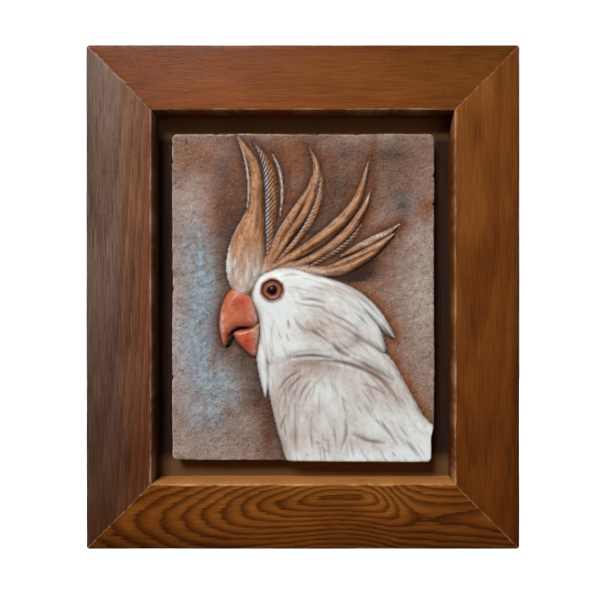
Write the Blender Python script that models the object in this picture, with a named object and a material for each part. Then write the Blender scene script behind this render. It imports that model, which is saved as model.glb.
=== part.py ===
"""Wall plaque: a clay relief of a crested cockatoo, set in a deep frame of four mitred pine rails.

Metres, +Z up. The plaque hangs facing -Y with its back on the plane y = 0. The origin is the middle of
the top rail's back face. The clay slab stands on a board that sits in the rails' rebates.
"""
import math

import bmesh
import bpy
import numpy as np

# Frame
PLAQUE_WIDTH = 0.300
PLAQUE_HEIGHT = 0.349
RAIL_WIDTH = 0.045
FRONT_RECESS = 0.026  # from the rails' front faces to the board
BACK_RECESS = 0.008  # from the board to the wall, which leaves room for a nail or a hook
BOARD_THICKNESS = 0.004
REBATE_WIDTH = 0.007
LEDGE_STEP = 0.002  # behind the board the rebate is this much wider, which leaves a clear ledge to hang on
RAIL_ARRIS = 0.0009
CLEARANCE = 0.0003  # between pieces that touch

# Clay slab
SIDE_CHANNEL = 0.0125  # bare board between the slab and the side rails
END_CHANNEL = 0.0145  # the same above and below the slab
SLAB_THICKNESS = 0.0165
SLAB_CORNER = 0.0035
SLAB_ARRIS = 0.0012
EDGE_WANDER = 0.0005  # how far the hand-cut edges stray
EDGE_TRIM = 0.0028  # cut off the right edge where the neck runs off it
TRIM_TOP = 0.0260  # above the slab's foot
TRIM_RUN_OUT = 0.0040
RELIEF_HEIGHT = 0.0074  # the highest carving above the slab's ground

# Mesh of the slab's face, before flat parts are thinned out
CARVING_STEP = 0.00085
SLAB_TRIANGLES = 9000

rail_depth = FRONT_RECESS + BOARD_THICKNESS + BACK_RECESS
board_face = -(BACK_RECESS + BOARD_THICKNESS)
seat = board_face - CLEARANCE  # what the rebates' shoulders and the back of the slab stop at
opening_width = PLAQUE_WIDTH - 2 * RAIL_WIDTH
opening_height = PLAQUE_HEIGHT - 2 * RAIL_WIDTH
slab_width = opening_width - 2 * SIDE_CHANNEL
slab_height = opening_height - 2 * END_CHANNEL
plaque_middle = (RAIL_WIDTH - PLAQUE_HEIGHT) / 2

# The figure is drawn as tall as the slab: right of the slab's middle and up from its foot, on a drawing
# whose height is this many units. Heights above the ground are shares of RELIEF_HEIGHT.
DRAWN_HEIGHT = 230.0

# Feathers and the long tapering neck, from the root to the tip: lift, then points along the middle with
# the half width there
FEATHERS = {
    "front_back_edge": (0.30, [(-39.5, 178, 1.0), (-38.4, 191, 1.6), (-39.4, 204, 1.6), (-42.3, 216, 1.3),
                               (-46.5, 227, 0.3)]),
    "front": (0.72, [(-43, 120.5, 7.0), (-40.5, 134, 13.3), (-39.8, 146, 13.1), (-38.2, 158, 10.4),
                     (-34, 176, 5.5), (-33, 195, 4.0), (-35.5, 210, 3.2), (-46, 228.5, 0.2)]),
    "second": (0.56, [(-24.5, 141, 1.4), (-23, 167, 3.6), (-22.5, 190, 4.5), (-25.5, 208.5, 3.6), (-35, 224, 0.2)]),
    "sliver": (0.16, [(-16.5, 172, 0.3), (-15, 188, 1.2), (-17, 204, 1.1), (-21.5, 215.5, 0.2)]),
    "third_left": (0.46, [(-28, 132, 2.4), (-23.5, 143, 3.0), (-16.5, 157, 3.5), (-7, 173, 3.0), (3.5, 189.5, 1.8),
                          (6.5, 200, 0.5)]),
    "third_right": (0.38, [(-22, 136, 1.4), (-13.5, 145, 1.8), (-1, 159.5, 2.5), (8.5, 176, 2.9), (12.5, 193, 2.0),
                           (11.5, 206, 0.5)]),
    "third": (0.58, [(-25, 134, 2.0), (-18.5, 144.5, 2.5), (-9.5, 158.5, 2.8), (1.5, 174.5, 3.1), (8, 193, 3.1),
                     (9.5, 207, 2.6), (4, 220.5, 0.2)]),
    "fifth_under": (0.30, [(4, 136, 1.4), (11.5, 140.5, 1.8), (26.5, 149.5, 2.3), (35, 157, 2.0), (41, 166.5, 0.4)]),
    "fourth": (0.62, [(-24, 134.5, 2.0), (-13, 140.5, 2.8), (1.5, 148.5, 3.8), (21, 163, 4.3), (37.5, 182.5, 3.2),
                      (47, 213, 0.2)]),
    "fifth": (0.54, [(-16, 135, 1.6), (0, 139.5, 2.6), (14.5, 146.5, 3.0), (31, 160, 3.4), (42, 176, 2.3),
                     (48, 191, 0.2)]),
    "sixth_upper": (0.46, [(26.5, 143.5, 0.8), (41.5, 151.5, 2.4), (57.5, 159.5, 2.1), (67.5, 166, 0.2)]),
    "sixth_lower": (0.64, [(-10, 136, 1.8), (3, 134, 3.0), (17, 133, 3.8), (30.5, 136.8, 5.4), (48, 147, 4.3),
                           (64, 159.5, 0.5)]),
    "bib": (0.60, [(-29, 86.5, 2.0), (-28.3, 74, 4.6), (-27, 58.5, 3.5), (-26.5, 44.5, 0.3)]),
    "neck": (0.88, [(8, 80, 8), (32, 76, 9), (54, 67, 9), (67, 50.5, 6), (83, 31, 1.5)]),
}

# Rounded forms: lift at the shoulder, crown added towards the middle, roll of the edge, closed outline
FORMS = {
    "body": (0.70, 0.24, 7.0, [(-26, 68), (-10, 82), (30, 84), (50, 64), (71, 50), (89, 27), (120, 8), (160, -60),
                               (10, -60), (-9, -8), (-15.5, 12), (-22.5, 40.5)]),
    "head": (0.86, 0.12, 7.5, [(-36.5, 113), (-33.5, 126), (-25.5, 133), (-10, 136.5), (13, 130), (35, 121),
                               (47, 107), (42, 88), (24, 72), (-2, 72), (-22, 66), (-30, 78), (-31.5, 100)]),
    "crest_root": (0.34, 0.04, 4.5, [(-28, 130), (-26, 138), (-14, 142), (2, 139), (18, 131), (5, 126), (-15, 128)]),
    "mouth": (0.30, 0.02, 2.0, [(-53.5, 82), (-51, 91), (-45, 95.5), (-33, 98), (-31, 90), (-36, 86), (-45, 87),
                                (-48.5, 80)]),
    "upper_lobe": (0.86, 0.10, 4.5, [(8, 130), (24, 126.2), (37, 120.6), (46.5, 113.4), (54.6, 104.6), (60.5, 95.4),
                                     (64.5, 86), (58.5, 89), (50, 97.5), (40, 106.5), (28.5, 115.5)]),
    "lower_lobe": (0.78, 0.10, 4.0, [(18, 116), (34, 115), (46, 105), (53.8, 94), (57.2, 84), (58, 75.6), (51, 78),
                                     (35, 87.5), (18, 98)]),
    "beak_upper": (0.80, 0.10, 6.5, [(-49.5, 121), (-56, 112.5), (-59.3, 98), (-57.8, 86), (-54.8, 80.3),
                                     (-51.2, 88), (-45.5, 92.7), (-36, 93.4), (-31, 97.5), (-33.5, 112),
                                     (-41, 119)]),
    "beak_lower": (0.62, 0.08, 4.0, [(-49, 89.6), (-41, 91.8), (-31, 95), (-30.6, 84), (-33.8, 73.2), (-39.5, 76),
                                     (-46, 83)]),
}

# Tooled lines: depth, half width, and the points they run through
CREASES = {
    "cheek_edge": (0.28, 1.5, [(-9, 72.5), (6, 74), (22, 72)]),
    "ear_wedge": (0.26, 1.6, [(20, 83.5), (24.5, 78), (34, 73)]),
    "mantle_crease": (0.34, 1.7, [(10, 70.5), (28, 69), (46, 62.5), (60, 52), (69, 36)]),
    "mantle_line": (0.14, 1.3, [(33, 72.5), (50, 64), (65, 55.5)]),
    "upper_lobe_line": (0.12, 1.2, [(34, 119), (46, 109.5), (55, 99)]),
    "wing_line": (0.12, 1.5, [(29.5, 31), (30, 20), (26, 8)]),
    "wing_crescent": (0.18, 1.8, [(34, 20.5), (45, 15), (58, 13)]),
    "flank_line": (0.10, 1.5, [(48, 31), (59, 22), (66, 11)]),
    "rump_line": (0.12, 1.3, [(73, 15), (82, 3)]),
    "fourth_groove": (0.18, 1.0, [(25, 162.5), (9, 151), (-6, 143)]),
    "sixth_crease": (0.26, 1.1, [(52, 148.5), (32, 139.5), (12, 134)]),
    "ear_line": (0.10, 0.9, [(-2, 113.4), (7, 113), (16.5, 110.6)]),
    "ear_line_low": (0.06, 0.8, [(1, 109), (9, 108.5), (16, 106.5)]),
    "jaw_tick": (0.08, 0.7, [(-10.5, 99.5), (-10, 96), (-9.3, 92.5)]),
    "jaw_wedge": (0.12, 1.0, [(5.5, 93), (8.5, 90.5), (12, 87)]),
    "temple_line": (0.07, 0.8, [(20, 103), (30, 98), (39, 91)]),
    "shoulder_one": (0.08, 1.0, [(-2, 63.5), (-11, 58), (-17.5, 49)]),
    "shoulder_two": (0.07, 0.9, [(2, 62), (-6, 55), (-11, 48)]),
    "shoulder_three": (0.06, 0.9, [(6, 58), (0, 50), (-3, 42)]),
    "breast_line": (0.08, 0.9, [(-11.5, 34), (-14.5, 27), (-16, 21.5)]),
    "back_line": (0.07, 0.9, [(40, 55), (50, 51.5), (58.5, 46)]),
}

EYE_PLACE = (-21.5, 120.0)
EYE_RADIUS = 7.4
LID_WIDTH = 1.5
LID_LIFT = 0.10
EYE_SINK = 0.20
PUPIL_RADIUS = 3.4
PUPIL_LIFT = 0.26


def smooth_curve(points, closed=False, steps=6):
    """The points and the places between them on a Catmull-Rom curve."""
    dots = np.array(points, float)
    if closed:
        dots = np.vstack([dots[-1:], dots, dots[:2]])
    else:
        dots = np.vstack([2 * dots[:1] - dots[1:2], dots, 2 * dots[-1:] - dots[-2:-1]])
    share = np.linspace(0, 1, steps, endpoint=False)[:, None]
    runs = []
    for before, start, end, after in zip(dots, dots[1:], dots[2:], dots[3:]):
        pull = 2 * before - 5 * start + 4 * end - after
        turn = 3 * start - before - 3 * end + after
        runs.append(start + ((end - before) * share + pull * share**2 + turn * share**3) / 2)
    if not closed:
        runs.append(dots[-2:-1])
    return np.vstack(runs)


def segments_near(place, line):
    """For each stretch of a line: how far every place is from it, and how far along it the nearest point is."""
    for start, end in zip(line, line[1:]):
        run = end[:2] - start[:2]
        along = np.clip((place - start[:2]) @ run / max(run @ run, 1e-9), 0, 1)
        yield start, end, along, np.linalg.norm(place - start[:2] - along[:, None] * run, axis=1)


def depth_inside(place, outline):
    """Distance to a closed outline, counted below nought outside it."""
    nearest = np.full(len(place), 1e9)
    inside = np.zeros(len(place), bool)
    for start, end, _, distance in segments_near(place, np.vstack([outline, outline[:1]])):
        nearest = np.minimum(nearest, distance)
        straddles = (start[1] > place[:, 1]) != (end[1] > place[:, 1])
        rise = end[1] - start[1] if end[1] != start[1] else 1e-9
        crossing = start[0] + (place[:, 1] - start[1]) * (end[0] - start[0]) / rise
        inside ^= straddles & (place[:, 0] < crossing)
    return np.where(inside, nearest, -nearest)


def rolled(depth, roll):
    """A rounded shoulder: nought at the edge, one where the roll ends."""
    share = np.clip(depth / roll, 0, 1)
    return (1 - (1 - share) ** 2) ** 0.65


def feather_lift(place, points):
    """Height of a feather as a share of its lift: full along its middle, lower where it narrows."""
    line = smooth_curve(points)
    widest = line[:, 2].max()
    lift = np.zeros(len(place))
    for start, end, along, distance in segments_near(place, line):
        half_width = start[2] + along * (end[2] - start[2])
        across = np.clip(distance / np.maximum(half_width, 1e-6), 0, 1)
        lift = np.maximum(lift, (1 - across**2.4) ** 0.85 * (half_width / widest) ** 0.4)
    return lift


def crease_share(place, points, half_width):
    """Depth of a tooled line as a share of its deepest: full at its middle, running out at both ends."""
    line = smooth_curve(points)
    share = np.zeros(len(place))
    for number, (_, _, along, distance) in enumerate(segments_near(place, line)):
        done = (number + along) / (len(line) - 1)
        share = np.maximum(share, np.exp(-((distance / half_width) ** 2)) * np.sin(math.pi * done) ** 0.6)
    return share


def carving(place):
    """Height of the carving above the ground at places on the drawing, in shares of the relief's height."""
    height = np.zeros(len(place))
    for lift, crown, roll, points in FORMS.values():
        depth = depth_inside(place, smooth_curve(points, closed=True))
        form = lift * rolled(depth, roll) + crown * (1 - np.exp(-np.maximum(depth, 0) / (2 * roll)))
        height = np.maximum(height, form)
    for lift, points in FEATHERS.values():
        height = np.maximum(height, lift * feather_lift(place, points))
    for depth, half_width, points in CREASES.values():
        height -= np.minimum(depth * crease_share(place, points, half_width), height)
    from_eye = np.linalg.norm(place - EYE_PLACE, axis=1)
    height += LID_LIFT * np.exp(-(((from_eye - EYE_RADIUS) / LID_WIDTH) ** 2))
    height -= EYE_SINK * rolled(EYE_RADIUS - from_eye, LID_WIDTH)
    height += PUPIL_LIFT * rolled(PUPIL_RADIUS - from_eye, PUPIL_RADIUS)
    return height


def material(name, colour, roughness):
    finish = bpy.data.materials.new(name)
    finish.use_nodes = True
    shader = finish.node_tree.nodes["Principled BSDF"]
    shader.inputs["Base Color"].default_value = (*colour, 1)
    shader.inputs["Roughness"].default_value = roughness
    shader.inputs["Metallic"].default_value = 0
    return finish


def piece(name, shape, finish, location=(0, 0, 0), turn=0.0):
    """Turns a bmesh into a named object, placed in the plaque and turned about Y."""
    mesh = bpy.data.meshes.new(name)
    shape.to_mesh(mesh)
    shape.free()
    mesh.materials.append(finish)
    part = bpy.data.objects.new(name, mesh)
    bpy.context.scene.collection.objects.link(part)
    part.parent = plaque
    part.location = location
    part.rotation_euler = (0, turn, 0)
    return part


def rail_shape(length):
    """A top rail, its long axis on X and its outer edge up, rebated behind and mitred at both ends."""
    half = RAIL_WIDTH / 2
    rebate = REBATE_WIDTH - half
    ledge = rebate + LEDGE_STEP
    profile = [(half, 0), (half, -rail_depth), (-half, -rail_depth), (-half, seat), (rebate, seat),
               (rebate, -BACK_RECESS), (ledge, -BACK_RECESS), (ledge, 0)]
    shape = bmesh.new()
    corners = [shape.verts.new((-1, y, z)) for z, y in profile]
    end = shape.faces.new(corners)
    pulled = bmesh.ops.extrude_face_region(shape, geom=[end])
    bmesh.ops.translate(shape, vec=(2, 0, 0), verts=[v for v in pulled["geom"] if isinstance(v, bmesh.types.BMVert)])
    bmesh.ops.recalc_face_normals(shape, faces=shape.faces)
    front = [edge for edge in shape.edges
             if all(vert.co.y < -rail_depth + CLEARANCE for vert in edge.verts) and edge.calc_length() > 1]
    bmesh.ops.bevel(shape, geom=front, offset=RAIL_ARRIS, affect="EDGES", segments=2, profile=0.5, material=-1)
    mitre_back_off = CLEARANCE / 2 * math.sqrt(2)
    for vert in shape.verts:
        across = half - vert.co.z
        vert.co.x = math.copysign(length / 2 - across - mitre_back_off, vert.co.x)
    return shape


def board_shape():
    shape = bmesh.new()
    bmesh.ops.create_cube(shape, size=1)
    reach = 2 * (REBATE_WIDTH - CLEARANCE)
    size = (opening_width + reach, BOARD_THICKNESS, opening_height + reach)
    bmesh.ops.scale(shape, vec=size, verts=shape.verts)
    return shape


def hand_cut(place):
    """Moves places on the slab's rectangle so that its corners are round and its edges wander a little."""
    half = np.array([slab_width, slab_height]) / 2
    beyond = np.abs(place) - (half - SLAB_CORNER)
    square = np.maximum(beyond.max(axis=1), 0)
    both = np.maximum(beyond, 0)
    pull = square / np.maximum(np.linalg.norm(both, axis=1), 1e-9)
    in_corner = (beyond > 0).all(axis=1)
    rounded = np.sign(place) * (half - SLAB_CORNER + both * pull[:, None])
    place = np.where(in_corner[:, None], rounded, place)
    below = np.clip((TRIM_TOP - half[1] - place[:, 1]) / TRIM_RUN_OUT, 0, 1)
    place[:, 0] -= EDGE_TRIM * below * np.clip(place[:, 0] / half[0], 0, 1) ** 3
    turns = place[:, ::-1] / half[::-1] * math.pi
    wander = np.sin(1.7 * turns + 0.6) + 0.6 * np.sin(3.9 * turns + 2.1 + np.sign(place))
    return place - EDGE_WANDER * (1 + wander / 1.6) / 2 * place / half


def slab_shape():
    """The clay slab: a fine grid with the carving raised on it, closed by its edges and a flat back."""
    columns = math.ceil(slab_width / CARVING_STEP)
    rows = math.ceil(slab_height / CARVING_STEP)
    shape = bmesh.new()
    bmesh.ops.create_grid(shape, x_segments=columns, y_segments=rows, size=0.5)
    flat = np.array([vert.co[:2] for vert in shape.verts]) * (slab_width, slab_height)
    unit = slab_height / DRAWN_HEIGHT
    place = hand_cut(flat)
    height = RELIEF_HEIGHT * carving((place + (0, slab_height / 2)) / unit)
    from_edge = np.min(np.array([slab_width, slab_height]) / 2 - np.abs(flat), axis=1)
    height -= SLAB_ARRIS * (1 - rolled(from_edge, SLAB_ARRIS))
    for vert, (x, z), rise in zip(shape.verts, place, height):
        vert.co = (x, -SLAB_THICKNESS - rise, z)
    rim = [edge for edge in shape.edges if edge.is_boundary]
    sides = bmesh.ops.extrude_edge_only(shape, edges=rim)["geom"]
    for vert in sides:
        if isinstance(vert, bmesh.types.BMVert):
            vert.co.y = 0
    bmesh.ops.holes_fill(shape, edges=[edge for edge in sides if isinstance(edge, bmesh.types.BMEdge)])
    bmesh.ops.recalc_face_normals(shape, faces=shape.faces)
    bmesh.ops.triangulate(shape, faces=shape.faces)
    return shape


for old in list(bpy.data.objects):
    bpy.data.objects.remove(old)

plaque = bpy.data.objects.new("plaque", None)
bpy.context.scene.collection.objects.link(plaque)
plaque.location = (0, 0, plaque_middle)

RAILS = {
    "rail_top": (PLAQUE_WIDTH, PLAQUE_HEIGHT, 0, (0.13, 0.055, 0.035)),
    "rail_right": (PLAQUE_HEIGHT, PLAQUE_WIDTH, 1, (0.19, 0.085, 0.045)),
    "rail_bottom": (PLAQUE_WIDTH, PLAQUE_HEIGHT, 2, (0.14, 0.055, 0.030)),
    "rail_left": (PLAQUE_HEIGHT, PLAQUE_WIDTH, 3, (0.12, 0.060, 0.045)),
}
for name, (length, span, quarter_turns, colour) in RAILS.items():
    turn = quarter_turns * math.pi / 2
    reach = (span - RAIL_WIDTH) / 2
    piece(name, rail_shape(length), material(name + "_stained_pine", colour, 0.45),
          (reach * math.sin(turn), 0, reach * math.cos(turn)), turn)

piece("back_board", board_shape(), material("dark_stained_board", (0.035, 0.018, 0.010), 0.6),
      (0, -BACK_RECESS - BOARD_THICKNESS / 2, 0))

slab = piece("relief_slab", slab_shape(), material("glazed_clay", (0.55, 0.46, 0.42), 0.45),
             (0, seat, 0))
thinned = slab.modifiers.new("Thinned", "DECIMATE")
thinned.ratio = min(1, SLAB_TRIANGLES / len(slab.data.polygons))
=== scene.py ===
# A framed wall plaque: a slab of grogged clay with a crested cockatoo in relief, glazed and oxide washed,
# glued to a dark board inside a deep frame of stained pine.
import math

import bmesh
import bpy
import numpy as np
from mathutils import Matrix, Vector, noise


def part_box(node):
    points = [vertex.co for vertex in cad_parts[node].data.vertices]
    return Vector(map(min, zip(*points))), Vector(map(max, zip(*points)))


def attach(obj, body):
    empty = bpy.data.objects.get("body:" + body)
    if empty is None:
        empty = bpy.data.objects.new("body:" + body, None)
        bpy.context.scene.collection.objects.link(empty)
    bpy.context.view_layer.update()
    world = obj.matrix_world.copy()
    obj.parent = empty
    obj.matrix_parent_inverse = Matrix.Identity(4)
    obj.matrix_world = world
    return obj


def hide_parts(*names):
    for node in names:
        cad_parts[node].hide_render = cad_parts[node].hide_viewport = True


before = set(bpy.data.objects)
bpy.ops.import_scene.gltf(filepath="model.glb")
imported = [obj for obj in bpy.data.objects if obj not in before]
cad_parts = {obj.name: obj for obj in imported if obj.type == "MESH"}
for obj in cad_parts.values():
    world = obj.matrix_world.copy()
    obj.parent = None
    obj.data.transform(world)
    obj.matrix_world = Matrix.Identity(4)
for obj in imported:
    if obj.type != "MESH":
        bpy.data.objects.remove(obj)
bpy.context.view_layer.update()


# Frame rails
# Four strips of pine, rebated behind for the board, mitred and glued at the corners, stained brown and
# varnished satin. Handling has worn their arrises and dust has settled in the mitres. The pale arrises are
# in part a painted highlight, and the bottom rail's inner ledge is drawn lighter: dust, and painted light.
CUTS_ALONG = 150
CUTS_ACROSS = 22
ARRIS = 0.0010
ARRIS_WEAR = 0.00015  # how deep the arrises are rubbed
WEAR_REACH = 0.0025  # how far down the outer side the rubbing goes
CORNER_ROUND = 0.0022
GLUE_LINE = 0.00006  # half the gap of a tight mitre
OPEN_MITRE = 0.00045  # half the gap more at the foot of one that gapes
MITRE_EASE = 0.0005  # reach of the soft edge of a tight mitre, and of one that gapes
OPEN_MITRE_EASE = 0.0013
MITRE_SINK = 0.00012
UNEVEN = 0.00006  # how far the planed face waves
REBATE_GAP = 0.0003
LEDGE_STEP = 0.002

plaque_low, plaque_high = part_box("rail_left")[0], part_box("rail_right")[1]
plaque_middle = (plaque_low.z + plaque_high.z) / 2
plaque_width = plaque_high.x - plaque_low.x
plaque_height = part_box("rail_top")[1].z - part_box("rail_bottom")[0].z
rail_low, rail_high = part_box("rail_top")
rail_width = rail_high.z - rail_low.z
front = rail_low.y
board_low, board_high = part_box("back_board")
board_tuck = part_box("rail_left")[1].x - board_low.x
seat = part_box("relief_slab")[1].y


def linear(hex_colour):
    """The linear value of an sRGB hex colour, with full alpha."""
    parts = [int(hex_colour[start:start + 2], 16) / 255 for start in (1, 3, 5)]
    return (*[part / 12.92 if part <= 0.04045 else ((part + 0.055) / 1.055) ** 2.4 for part in parts], 1)


def add_node(tree, kind, sockets=None, stops=(), curve=(), output=0, **settings):
    """Adds a node with its settings, fills or links its sockets, and gives back one of its outputs.

    stops are a colour ramp's (place, hex colour) pairs, and curve a float curve's points.
    """
    node = tree.nodes.new("ShaderNode" + kind)
    for name, value in settings.items():
        setattr(node, name, value)
    for number, (place, colour) in enumerate(stops):
        stop = node.color_ramp.elements[number] if number < 2 else node.color_ramp.elements.new(place)
        stop.position = place
        stop.color = linear(colour)
    for number, (place, value) in enumerate(curve):
        points = node.mapping.curves[0].points
        point = points[number] if number < 2 else points.new(place, value)
        point.location = (place, value)
    if curve:
        node.mapping.update()
    for name, value in (sockets or {}).items():
        if isinstance(value, bpy.types.NodeSocket):
            tree.links.new(value, node.inputs[name])
        else:
            node.inputs[name].default_value = value
    return node.outputs[output] if node.outputs else node


def new_finish(name):
    """A material with only its output node, and its tree."""
    finish = bpy.data.materials.new(name)
    finish.use_nodes = True
    tree = finish.node_tree
    tree.nodes.remove(tree.nodes["Principled BSDF"])
    return finish, tree


def new_piece(name, shape, finish, node):
    """Makes a mesh of a shape that is already in place, and lets it stand for its node."""
    mesh = bpy.data.meshes.new(name)
    shape.to_mesh(mesh)
    shape.free()
    mesh.materials.append(finish)
    piece = bpy.data.objects.new(name, mesh)
    bpy.context.scene.collection.objects.link(piece)
    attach(piece, "root")
    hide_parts(node)
    return piece


GRAIN_HALF = 0.17
PITH_REACH = 0.06


def coated(tree, colour, coats):
    """Lays coats over a colour. Each says how much of it there is, what breaks it up, where that starts and
    is full, the most that it covers, and its own colour."""
    for amount, broken_by, start, full, most, coat in coats:
        share = add_node(tree, "MapRange", {0: broken_by, 1: start, 2: full, 4: most})
        share = add_node(tree, "Math", {0: amount, 1: share}, operation="MULTIPLY")
        coat = linear(coat) if isinstance(coat, str) else coat
        colour = add_node(tree, "Mix", {0: share, 6: colour, 7: coat}, output=2, data_type="RGBA")
    return colour


def stained_pine(name, turn, centre, look):
    """Stained pine under satin varnish: brown with darker growth bands, soft streaks, pores, and pale wear
    that is in part a painted highlight.

    The grain is that of a board cut beside a wandering pith: rings stand round the pith at an even spacing,
    so its face shows lines, flames and ovals where the pith dips away or comes near.
    """
    finish, tree = new_finish(name)
    place = add_node(tree, "TexCoord", output=3)
    place = add_node(tree, "Mapping", {"Vector": place, "Location": [-part for part in centre]})
    place = add_node(tree, "Mapping", {"Vector": place, "Rotation": (0, -turn, 0)})
    split = add_node(tree, "SeparateXYZ", {0: place}).node
    along, deep, across = split.outputs

    # Where the pith runs behind the face and off the middle, at each place along the rail
    share = add_node(tree, "MapRange", {0: along, 1: -GRAIN_HALF, 2: GRAIN_HALF})
    depth = add_node(tree, "FloatCurve", {"Value": share}, curve=look["pith_depth"])
    depth = add_node(tree, "Math", {0: depth, 1: PITH_REACH, 2: -front}, operation="MULTIPLY_ADD")
    depth = add_node(tree, "Math", {0: deep, 1: depth}, operation="ADD")
    side = add_node(tree, "FloatCurve", {"Value": share}, curve=look["pith_side"])
    side = add_node(tree, "Math", {0: side, 1: -PITH_REACH, 2: PITH_REACH / 2}, operation="MULTIPLY_ADD")
    side = add_node(tree, "Math", {0: across, 1: side}, operation="ADD")

    # The rings wander over 70 mm of the length and 17 mm across. The wood's fibres are finer than a pixel, so
    # they are drawn coarser, as streaks 25 mm long and 1 mm wide, which also fray the rings.
    drawn = add_node(tree, "Mapping", {"Vector": place, "Scale": (14, 60, 60)})
    drift = add_node(tree, "TexNoise", {"Vector": drawn, "Scale": 1, "Detail": 4, "Roughness": 0.55})
    fine = add_node(tree, "Mapping", {"Vector": place, "Scale": (40, 1000, 1000)})
    fibre = add_node(tree, "TexNoise", {"Vector": fine, "Scale": 1, "Detail": 3, "Roughness": 0.6})
    ring = add_node(tree, "CombineXYZ", {0: depth, 1: side})
    ring = add_node(tree, "VectorMath", {0: ring}, operation="LENGTH", output=1)
    ring = add_node(tree, "Math", {0: ring, 1: 1 / look["ring"]}, operation="MULTIPLY")
    ring = add_node(tree, "Math", {0: drift, 1: look["drift"], 2: ring}, operation="MULTIPLY_ADD")
    ring = add_node(tree, "Math", {0: fibre, 1: 0.5, 2: ring}, operation="MULTIPLY_ADD")
    ring = add_node(tree, "Math", {0: ring}, operation="FRACT")
    band = add_node(tree, "ValToRGB", {0: ring}, stops=look["bands"])

    # Resin ducts are a tenth of a millimetre wide, drawn coarser: 5 mm long and 0.4 mm wide
    short = add_node(tree, "Mapping", {"Vector": place, "Scale": (190, 2400, 2400)})
    pore = add_node(tree, "TexNoise", {"Vector": short, "Scale": 1, "Detail": 1})
    pore = add_node(tree, "MapRange", {0: pore, 1: 0.60, 2: 0.72})
    # The stain took unevenly, in clouds 55 mm long and 17 mm across
    cloud = add_node(tree, "Mapping", {"Vector": place, "Scale": (18, 60, 60)})
    cloud = add_node(tree, "TexNoise", {"Vector": cloud, "Scale": 1, "Detail": 3})

    streak = add_node(tree, "ValToRGB", {0: fibre}, stops=look["streaks"])
    colour = add_node(tree, "Mix", {0: look["band_share"], 6: streak, 7: band}, output=2,
                      data_type="RGBA", blend_type="MULTIPLY")
    width = add_node(tree, "MapRange", {0: across, 1: -rail_width / 2, 2: rail_width / 2})
    for way, stops in ((cloud, look["tones"]), (share, look["ends"]), (width, look["sides"])):
        tone = add_node(tree, "ValToRGB", {0: way}, stops=stops)
        colour = add_node(tree, "Mix", {0: 1.0, 6: colour, 7: tone}, output=2,
                          data_type="RGBA", blend_type="MULTIPLY")
    # Pale wear on the arrises, in part a painted highlight, brightest on the bottom rail's inner arris
    wear_and_highlight = add_node(tree, "Attribute", output=2, attribute_name="wear_and_highlight")
    rubbed_and_highlit = add_node(tree, "Math", {0: wear_and_highlight, 1: fibre}, operation="MULTIPLY")
    # The bottom rail's inner ledge is drawn lighter: dust, and painted light falling on it from above
    dust_and_light = add_node(tree, "Attribute", output=2, attribute_name="dust_and_light")
    patchy_ledge = add_node(tree, "MapRange", {0: cloud, 1: 0.30, 2: 0.52, 3: 0.65})
    colour = coated(tree, colour, [
        (1.0, pore, 0.0, 1.0, look["pores"], "#1c0e08"),
        (1.0, rubbed_and_highlit, 0.12, 0.55, 1.0, look["bare"]),
        (dust_and_light, patchy_ledge, 0.0, 1.0, look["dust_and_light"], "#dc9450"),
    ])

    rough = add_node(tree, "MapRange", {0: fibre, 3: 0.26, 4: 0.38})
    relief = add_node(tree, "Math", {0: ring, 1: 0.35, 2: fibre}, operation="MULTIPLY_ADD")
    relief = add_node(tree, "Math", {0: pore, 1: -0.6, 2: relief}, operation="MULTIPLY_ADD")
    bump = add_node(tree, "Bump", {"Height": relief, "Strength": 0.35, "Distance": 0.00018})
    shader = add_node(tree, "BsdfPrincipled", {
        "Base Color": colour, "Roughness": rough, "Normal": bump, "IOR": 1.5,
        "Specular IOR Level": 0.08})
    tree.links.new(shader, tree.nodes["Material Output"].inputs["Surface"])
    return finish


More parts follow.
